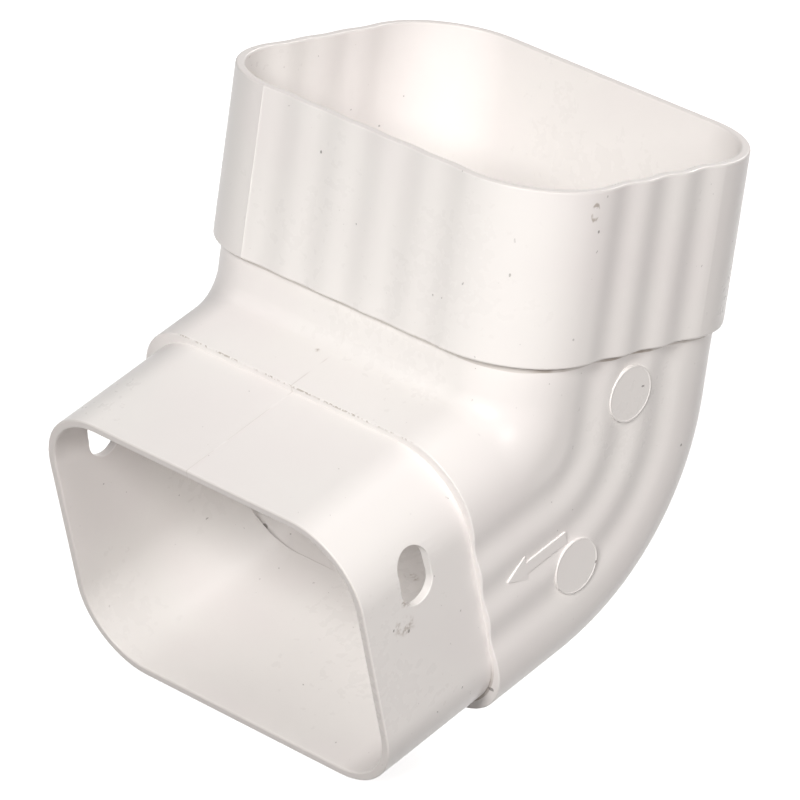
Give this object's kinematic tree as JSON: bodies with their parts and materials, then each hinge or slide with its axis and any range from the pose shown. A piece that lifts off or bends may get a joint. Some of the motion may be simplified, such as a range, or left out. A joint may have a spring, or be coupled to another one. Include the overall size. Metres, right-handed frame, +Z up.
{
  "type": "gutter elbow",
  "caption": "Fluted white vinyl downspout elbow: a socket takes the pipe from above, the bend turns the water forward, and a plain spigot with side slots fits the next pipe.",
  "frame": {"origin": "middle of the socket's mouth, in the plane of its rim", "axes": "+Z up out of the socket along the inlet's centre line; X across the width, parallel to the line that the bend turns about; the spigot leaves towards -Y and downwards"},
  "size_m": [0.088, 0.1024, 0.1153],
  "materials": {
    "vinyl": "moulded white vinyl with a soft gloss"
  },
  "bodies": {
    "root": {"elbow": "vinyl"}
  },
  "joints": []
}
